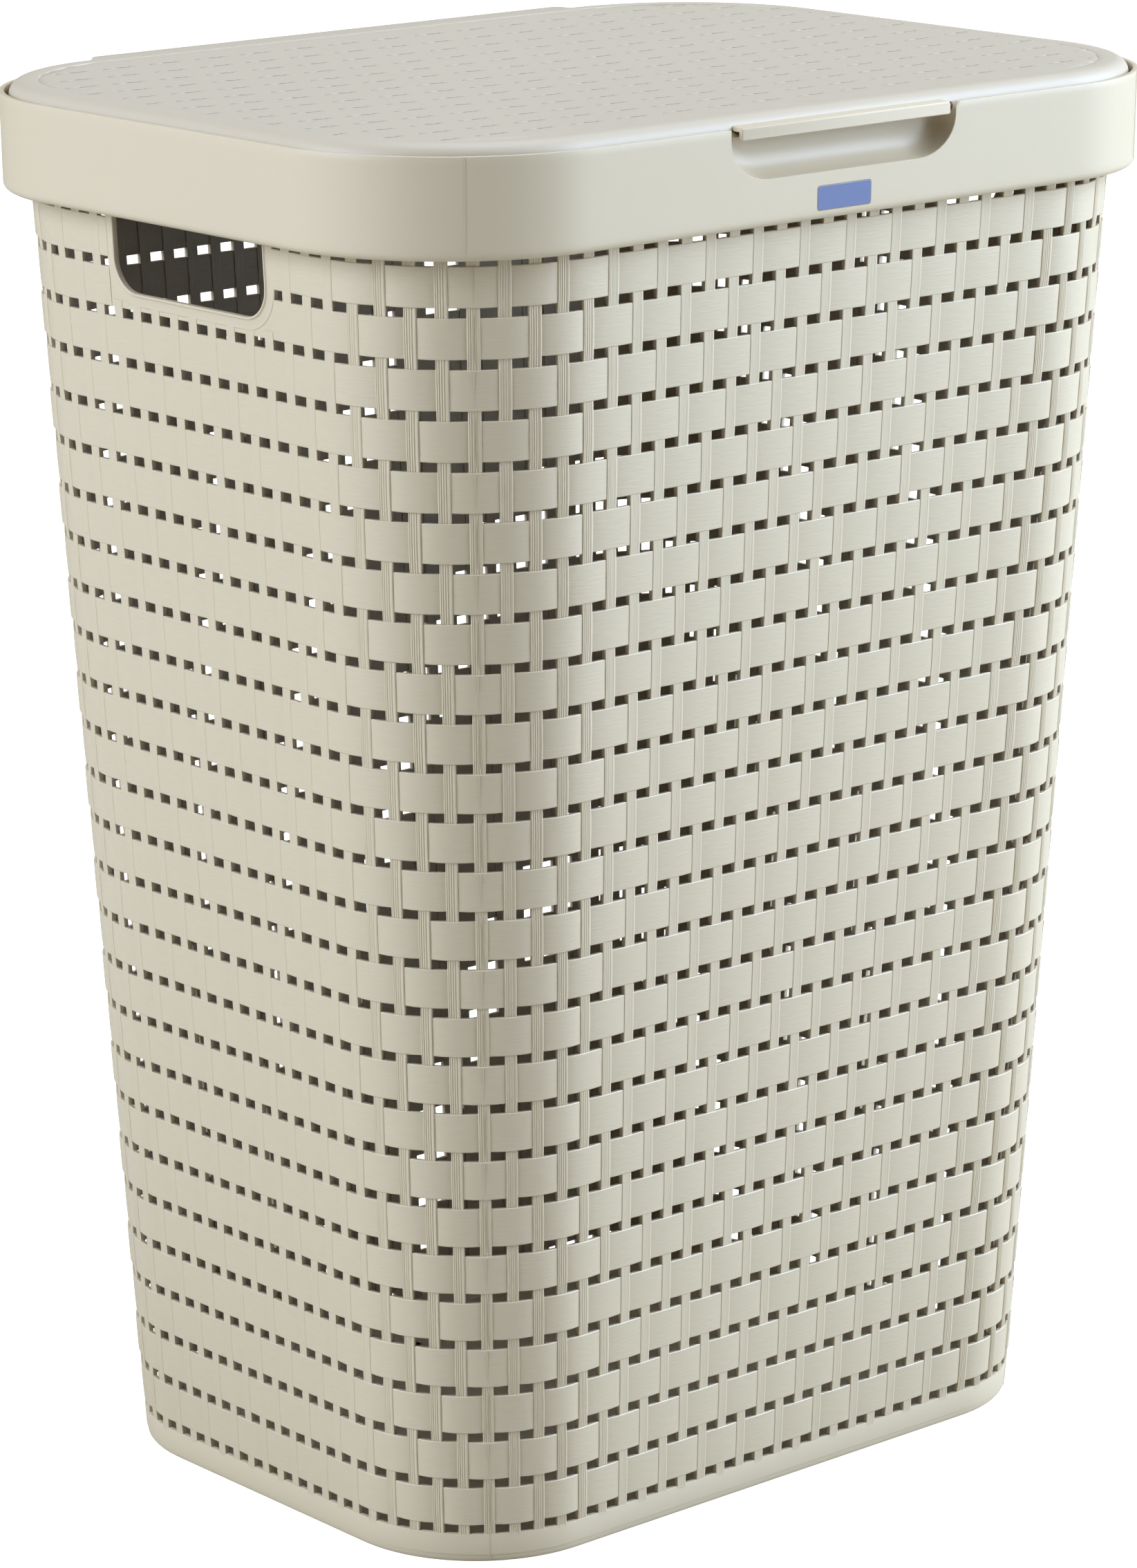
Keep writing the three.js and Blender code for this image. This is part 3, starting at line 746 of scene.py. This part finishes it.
# up the skirt, over the rounded edge and the border, down to its inner side and back
lidTopZ, thick, inner = lidForm["top"], lidForm["thick"], lidForm["border"]
profile = [(lidForm["skirt"], 0.0)]
for k in np.linspace(0, math.pi / 2, 9):
    profile.append((lidTopZ - lidForm["round"] * (1 - math.sin(k)), -lidForm["round"] * (1 - math.cos(k))))
profile += [(lidTopZ + 0.03 * mm, -0.75 * inner), (lidTopZ, -inner + 0.5 * mm),
            (lidTopZ - 0.12 * mm, -inner + 0.1 * mm), (lidTopZ - 0.6 * mm, -inner - 0.1 * mm),
            (lidTopZ - thick, -inner), (lidTopZ - thick, -8 * mm)]
for k in np.linspace(math.pi / 2, 0, 6):
    r = lidForm["round"] - thick
    profile.append((lidTopZ - thick - r * (1 - math.sin(k)), -thick - r * (1 - math.cos(k))))
profile.append((lidForm["skirt"], -thick))
lidRing = ringGrid(profile, lidForm["stations"], lidSize)
# the skirt is cut short over the finger pocket, and behind by the hinge
lidHeight = lidRing[..., 2]
overPocket = (np.abs(lidRing[..., 0]) < lidForm["notchHalf"]) & (lidRing[..., 1] < 0)
lidHeight[overPocket] = np.maximum(lidHeight[overPocket], lidForm["notchFloor"])
byHinge = lidRing[..., 1] > lidForm["hingeSkirt"]
lidHeight[byHinge] = np.maximum(lidHeight[byHinge], lidForm["hingeFloor"])
lidQuads = gridQuads(*lidRing.shape[:2], closeRows=True, closeColumns=True)

relief = {
    "barPitch": 11.6 * mm, "rowPitch": 18.9 * mm, "bars": 17, "bands": 8,  # counted from the middle outwards
    "pad": 0.16 * mm, "bar": 0.05 * mm, "slot": -0.9 * mm, "bend": 0.8 * mm,
    "longMiddle": 0.5, "longHalf": 0.25, "shortMiddle": 0.67, "shortHalf": 0.08,  # slots, in bars
    "slotFrom": 0.475, "rimFrom": 0.466,  # in bands from a band's middle
    # shade: how strongly the slots and their rims are painted with shade
    "padHalfWidth": 0.79, "padHalfHeight": 0.45, "shade": 0.66,
    "halfX": 194.2 * mm, "halfY": 141.4 * mm, "radius": 64.2 * mm, "sheet": 1.0 * mm,
}
# lines of the grid within one bar and within one band, close together at the edges of the slots
stepX = np.array([-0.5, -0.41, -0.395, -0.265, -0.25, 0, 0.25, 0.265])
stepY = np.array([-0.5, -0.482, -0.468, -0.464, -0.3, 0, 0.3, 0.464, 0.468, 0.482])
lineX = (np.arange(-relief["bars"], relief["bars"] + 1)[:, None] + stepX[None]).ravel()
lineY = (np.arange(-relief["bands"], relief["bands"] + 1)[:, None] + stepY[None]).ravel()
gridX, gridY = np.meshgrid(lineX, lineY, indexing="ij")


def slotAcross(u, v):
    # Along each line between two bands, long and short slots take turns between the bars. The first answer runs
    # from -1 to 1 along a slot and goes beyond that outside it; the second says whether the slot is a long one.
    cell, line = np.floor(u), np.floor(v)
    long = np.mod(cell + line, 2) == 0
    middle = np.where(long, relief["longMiddle"], relief["shortMiddle"])
    half = np.where(long, relief["longHalf"], relief["shortHalf"])
    return (u - cell - middle) / half, long


def reliefHeight(u, v):
    # u counts bars and v counts bands. A pad covers every other bar of a band: its height falls from the crown
    # by |distance|^2.2 to the bars beside it. A bar runs level between pads. Slots are cut between the bands.
    # The answers are the height, and which points belong to a slot or its rim.
    band, bar = np.round(v), np.round(u)
    dv, du = np.abs(v - band), np.abs(u - bar)
    onPad = np.mod(bar + band, 2) == 0
    padAcross = np.where(onPad, du, 1 - du) / relief["padHalfWidth"]
    level = relief["bar"] + (relief["pad"] - relief["bar"]) * (1 - np.clip(padAcross, 0, 1) ** 2.2)
    level = np.where(dv < relief["padHalfHeight"], level, relief["bar"])
    inSlot = np.abs(slotAcross(u, v)[0]) <= 1.01
    height = np.where((dv > relief["slotFrom"]) & inSlot, relief["slot"], level)
    return height, (dv > relief["rimFrom"]) & inSlot


height, slotPaintedShadeMask = reliefHeight(gridX, gridY)
across, long = slotAcross(gridX, gridY)
# the lines between the bands bow a little at each long slot
nearLine = np.clip(1 - 4 * np.abs(gridY - np.floor(gridY) - 0.5), 0, 1)
bow = relief["bend"] * (np.clip(across, -1.6, 1.6) ** 2 - 0.5) * (long & (np.abs(across) < 1.7)) * nearLine
x, y = gridX * relief["barPitch"], gridY * relief["rowPitch"] + bow
# the field sinks towards the middle by the product of two parabolas
sink = lidForm["dish"] * (1 - np.clip(x / relief["halfX"], -1, 1) ** 2)
sink = sink * (1 - np.clip(y / relief["halfY"], -1, 1) ** 2)
field = np.stack([x, y, lidForm["top"] - lidForm["step"] - relief["pad"] - sink + height], -1)
fieldQuads = gridQuads(*gridX.shape)
# distance past the field's rounded outline: the sheet dips under the border and is trimmed there
cornerX = np.maximum(np.abs(x) - (relief["halfX"] - relief["radius"]), 0)
cornerY = np.maximum(np.abs(y) - (relief["halfY"] - relief["radius"]), 0)
beyond = np.hypot(cornerX, cornerY) - relief["radius"]
field[..., 2] -= np.clip((beyond + 0.2 * mm) / (1.5 * mm), 0, 1) * 0.8 * mm
inside = (beyond < 3.5 * mm).ravel()
fieldQuads = fieldQuads[inside[fieldQuads].all(1)]
field = field.reshape(-1, 3)
used = np.unique(fieldQuads)
renumber = np.zeros(len(field), int)
renumber[used] = np.arange(len(used))
lidTop = makePiece("lid_woven_field", field[used], renumber[fieldQuads])
# painted shade in the slots and on their rims, added to the slots cut into the field
markPaintedShade(lidTop, (slotPaintedShadeMask.ravel()[used] & (beyond.ravel()[used] < -1 * mm)) * relief["shade"])
if lidTop.data.polygons[100].normal.z < 0:
    lidTop.data.flip_normals()
thickField = lidTop.modifiers.new("sheet", "SOLIDIFY")
thickField.thickness, thickField.offset, thickField.material_offset = relief["sheet"], -1, 1
placePiece(lidTop, "lid", lidPlastic, "greige_plastic")
lidTop.data.materials.append(innerPlastic)
lidBorder = makePiece("lid_border_ring", lidRing.reshape(-1, 3), lidQuads, merge=1e-6)
placePiece(lidBorder, "lid", lidPlastic, "greige_plastic", "lid_panel")

# straight lip that covers the rear rim
lipForm = {"half": 127 * mm, "straight": 118 * mm, "front": 141.5 * mm, "rear": 157.6 * mm, "low": 566.2 * mm,
           "top": 567.9 * mm, "round": 1.2 * mm, "endRound": 5 * mm, "ease": 0.2 * mm}
a = np.linspace(0, math.pi / 2, 6)
lipEdge = np.stack([lipForm["rear"] - lipForm["round"] * (1 - np.cos(a)),
                    lipForm["top"] - lipForm["round"] * (1 - np.sin(a))], -1)
section = np.concatenate([[[lipForm["front"], lipForm["low"]],
                           [lipForm["rear"] - lipForm["ease"], lipForm["low"]],
                           [lipForm["rear"], lipForm["low"] + lipForm["ease"]]],
                          lipEdge, [[lipForm["front"], lipForm["top"]]]])
# at both ends the rear edge is drawn in along a quarter circle
turn = np.linspace(0, math.pi / 2, 7)
endIn = lipForm["endRound"] * (1 - np.cos(turn))
endPull = lipForm["endRound"] * (1 - np.sin(turn))
straight = np.linspace(-1, 1, 9)[1:-1] * lipForm["straight"]
along = np.concatenate([endIn - lipForm["half"], straight, lipForm["half"] - endIn[::-1]])
pull = np.concatenate([endPull, np.zeros(len(straight)), endPull[::-1]])
isRear = section[:, 0] > (lipForm["front"] + lipForm["rear"]) / 2
loops = []
for x, drawnIn in zip(along, pull):
    depth = np.maximum(section[:, 0] - drawnIn * isRear, lipForm["front"])
    loops.append(np.stack([np.full(len(section), x), depth, section[:, 1]], -1))
rearLip = makePiece("lid_rear_lip", *sweepPlain(np.array(loops)[None]))
placePiece(rearLip, "lid", lidPlastic, "greige_plastic")
print("lid", len(lidTop.data.polygons), "faces")

tabForm = {"halfWidth": 55 * mm, "top": 564.5 * mm, "bottom": 559.6 * mm, "front": -158.5 * mm,
           "rear": -152.5 * mm, "lipBack": -156.9 * mm, "flange": 1.3 * mm, "fillet": 0.5 * mm,
           "ease": 0.3 * mm, "edge": 0.6 * mm, "rise": 0.4 * mm}
# a flange out from the lid's edge with a lip turned down from it; the inner side first, then back by the outer
under = tabForm["top"] - tabForm["flange"]
section = np.array([(tabForm["rear"], under),
                    (tabForm["lipBack"] + tabForm["fillet"], under),
                    (tabForm["lipBack"], under - tabForm["fillet"]),
                    (tabForm["lipBack"], tabForm["bottom"] + tabForm["ease"]),
                    (tabForm["lipBack"] - tabForm["ease"], tabForm["bottom"]),
                    (tabForm["front"] + tabForm["ease"], tabForm["bottom"]),
                    (tabForm["front"], tabForm["bottom"] + tabForm["ease"]),
                    (tabForm["front"], tabForm["top"] - tabForm["edge"]),
                    (tabForm["front"] + tabForm["edge"], tabForm["top"]),
                    (tabForm["rear"], tabForm["top"] + tabForm["rise"])])
# both ends are eased by drawing the section in
away = np.sign(section - section.mean(0))
loops = []
for share, drawnIn in ((-1, 0.25), (-0.995, 0.08), (-0.99, 0), (0.99, 0), (0.995, 0.08), (1, 0.25)):
    x = np.full((len(section), 1), share * tabForm["halfWidth"])
    loops.append(np.concatenate([x, section - away * drawnIn * mm], 1))
tab = makePiece("lid_finger_tab", *sweepPlain(np.array(loops)[None]))
placePiece(tab, "lid", smoothPlastic, "greige_plastic", "lid_tab")

# the hinge's own solids are shown as they are
for name in ("hinge_bar_left", "hinge_bar_right", "hinge_clip_left", "hinge_clip_right"):
    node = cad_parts[name]
    for slot in node.material_slots:
        slot.material = smoothPlastic


studio = {
    "floorHalf": 6.0, "paperGlow": 1.1,
    "room": 0.27, "viewerSide": 0.085, "towardsViewer": (-0.656, -0.754, 0.0),
    "boxSize": (2.6, 2.4), "leftPower": 178, "rightPower": 240, "topSize": (2.2, 2.2), "topPower": 36,
    "aim": (0, 0, 0.3),
}
floorPoints = np.array([[-1, -1, 0], [1, -1, 0], [1, 1, 0], [-1, 1, 0]]) * studio["floorHalf"]
floor = makePiece("studio_floor", floorPoints, np.array([[0, 1, 2, 3]]))
# the paper is lit like the rest, and is pure white where it is seen directly
floorMaterial, tree = newMaterial("white studio paper")
place = addNode(tree, "ShaderNodeTexCoord").outputs["Object"]
fibre = addNode(tree, "ShaderNodeTexNoise", {"Scale": 180.0, "Detail": 2.0}, {"Vector": place})
tone = addNode(tree, "ShaderNodeMix",
               {"data_type": "RGBA", 6: hexToLinear("BAB5AA"), 7: hexToLinear("B6B1A6")},
               {"Factor": fibre.outputs["Fac"]})
paper = addNode(tree, "ShaderNodeBsdfDiffuse", links={"Color": tone.outputs[2]})
glow = addNode(tree, "ShaderNodeEmission", {"Color": (1, 1, 1, 1), "Strength": studio["paperGlow"]})
lifted = addNode(tree, "ShaderNodeAddShader", links={0: paper.outputs["BSDF"], 1: glow.outputs["Emission"]})
path = addNode(tree, "ShaderNodeLightPath")
mix = addNode(tree, "ShaderNodeMixShader", links={
    "Fac": path.outputs["Is Camera Ray"], 1: paper.outputs["BSDF"], 2: lifted.outputs["Shader"]})
addNode(tree, "ShaderNodeOutputMaterial", links={"Surface": mix.outputs["Shader"]})
floor.data.materials.append(floorMaterial)

world = bpy.data.worlds.new("studio")
bpy.context.scene.world = world
world.use_nodes = True
tree = world.node_tree
tree.nodes.clear()
# a pale room, dimmer and warmer on the viewer's side, between two wide soft boxes
direction = addNode(tree, "ShaderNodeTexCoord").outputs["Generated"]
towards = addNode(tree, "ShaderNodeVectorMath",
                  {"operation": "DOT_PRODUCT", 1: studio["towardsViewer"]}, {0: direction})
ramp = addNode(tree, "ShaderNodeMapRange", {
    "From Min": 0.3, "From Max": 0.9, "To Min": 0.0, "To Max": 1.0, "interpolation_type": "SMOOTHSTEP"},
    {"Value": towards.outputs["Value"]})
shade = addNode(tree, "ShaderNodeMix", {
    "data_type": "RGBA", 6: [v * studio["room"] for v in hexToLinear("FFF7E8")],
    7: [v * studio["viewerSide"] for v in hexToLinear("FFE6C4")]}, {"Factor": ramp.outputs["Result"]})
lit = addNode(tree, "ShaderNodeBackground", links={"Color": shade.outputs[2]})
seen = addNode(tree, "ShaderNodeBackground", {"Color": (1, 1, 1, 1), "Strength": 1.0})
path = addNode(tree, "ShaderNodeLightPath")
mix = addNode(tree, "ShaderNodeMixShader", links={
    "Fac": path.outputs["Is Camera Ray"], 1: lit.outputs["Background"], 2: seen.outputs["Background"]})
addNode(tree, "ShaderNodeOutputWorld", links={"Surface": mix.outputs["Shader"]})


def softBox(name, place, size, power, colour):
    lamp = bpy.data.lights.new(name, "AREA")
    lamp.shape, lamp.energy = "RECTANGLE", power
    lamp.size, lamp.size_y = size
    lamp.color = hexToLinear(colour)[:3]
    holder = bpy.data.objects.new(name, lamp)
    holder.location = place
    holder.rotation_mode = "QUATERNION"
    holder.rotation_quaternion = (Vector(studio["aim"]) - Vector(place)).to_track_quat("-Z", "Y")
    bpy.context.scene.collection.objects.link(holder)


softBox("left soft box", (-3.1, 0.8, 1.9), studio["boxSize"], studio["leftPower"], "D5E5FF")
softBox("right soft box", (2.3, -1.6, 1.6), studio["boxSize"], studio["rightPower"], "CBE0FF")
softBox("overhead soft box", (0.3, 0.3, 3.4), studio["topSize"], studio["topPower"], "D5E4FF")
bpy.context.scene.view_settings.view_transform = "Standard"

cameraForm = {"place": (-1.4879, -1.7039, 0.8637), "azimuth": -41.04, "elevation": 12.72, "roll": -0.25,
              "sensor": 36, "lens": 129.79365, "shiftY": -0.1252205, "farEnd": 50}
camera = bpy.data.objects.new("camera", bpy.data.cameras.new("camera"))
az, el, roll = (math.radians(cameraForm[k]) for k in ("azimuth", "elevation", "roll"))
back = Vector((math.sin(az) * math.cos(el), -math.cos(az) * math.cos(el), math.sin(el)))
right = (-back).cross(Vector((0, 0, 1))).normalized()
up = right.cross(-back)
rightTurned = right * math.cos(roll) + up * math.sin(roll)
upTurned = up * math.cos(roll) - right * math.sin(roll)
camera.matrix_world = Matrix((rightTurned, upTurned, back)).transposed().to_4x4()
camera.location = cameraForm["place"]
camera.data.sensor_width = cameraForm["sensor"]
camera.data.lens = cameraForm["lens"]
camera.data.shift_y = cameraForm["shiftY"]
camera.data.clip_end = cameraForm["farEnd"]
bpy.context.scene.collection.objects.link(camera)
bpy.context.scene.camera = camera
